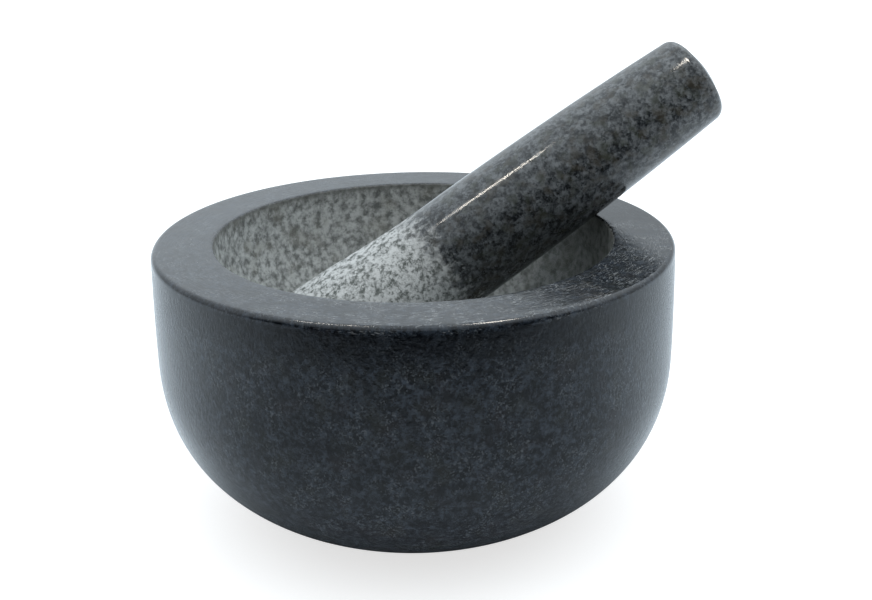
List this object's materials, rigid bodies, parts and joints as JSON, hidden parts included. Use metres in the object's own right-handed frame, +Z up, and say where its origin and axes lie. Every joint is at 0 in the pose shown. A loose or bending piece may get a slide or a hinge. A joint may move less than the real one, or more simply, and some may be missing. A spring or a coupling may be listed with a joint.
{
  "type": "mortar and pestle",
  "caption": "Turned stone mortar with a broad flat rim, a rounded hollow and a flat base, and a loose stone pestle leaning in it, for crushing and grinding by hand.",
  "frame": {"origin": "centre of the mortar's flat base, on the surface it stands on", "axes": "+Z up out of the hollow, +X the side that the resting pestle's grip leans towards"},
  "size_m": [0.2029, 0.1824, 0.1591],
  "materials": {
    "mortar_stone": "honed dark grey granite, rough ground hollow",
    "pestle_stone": "polished dark grey granite grip, rough ground head"
  },
  "bodies": {
    "mortar": {"mortar": "mortar_stone"},
    "pestle": {"pestle": "pestle_stone"}
  },
  "joints": [
    {"name": "pestle_lift", "type": "slide", "parent": "mortar", "child": "pestle", "axis": [0, 0, 1], "range_m": [0, 0.12]}
  ]
}
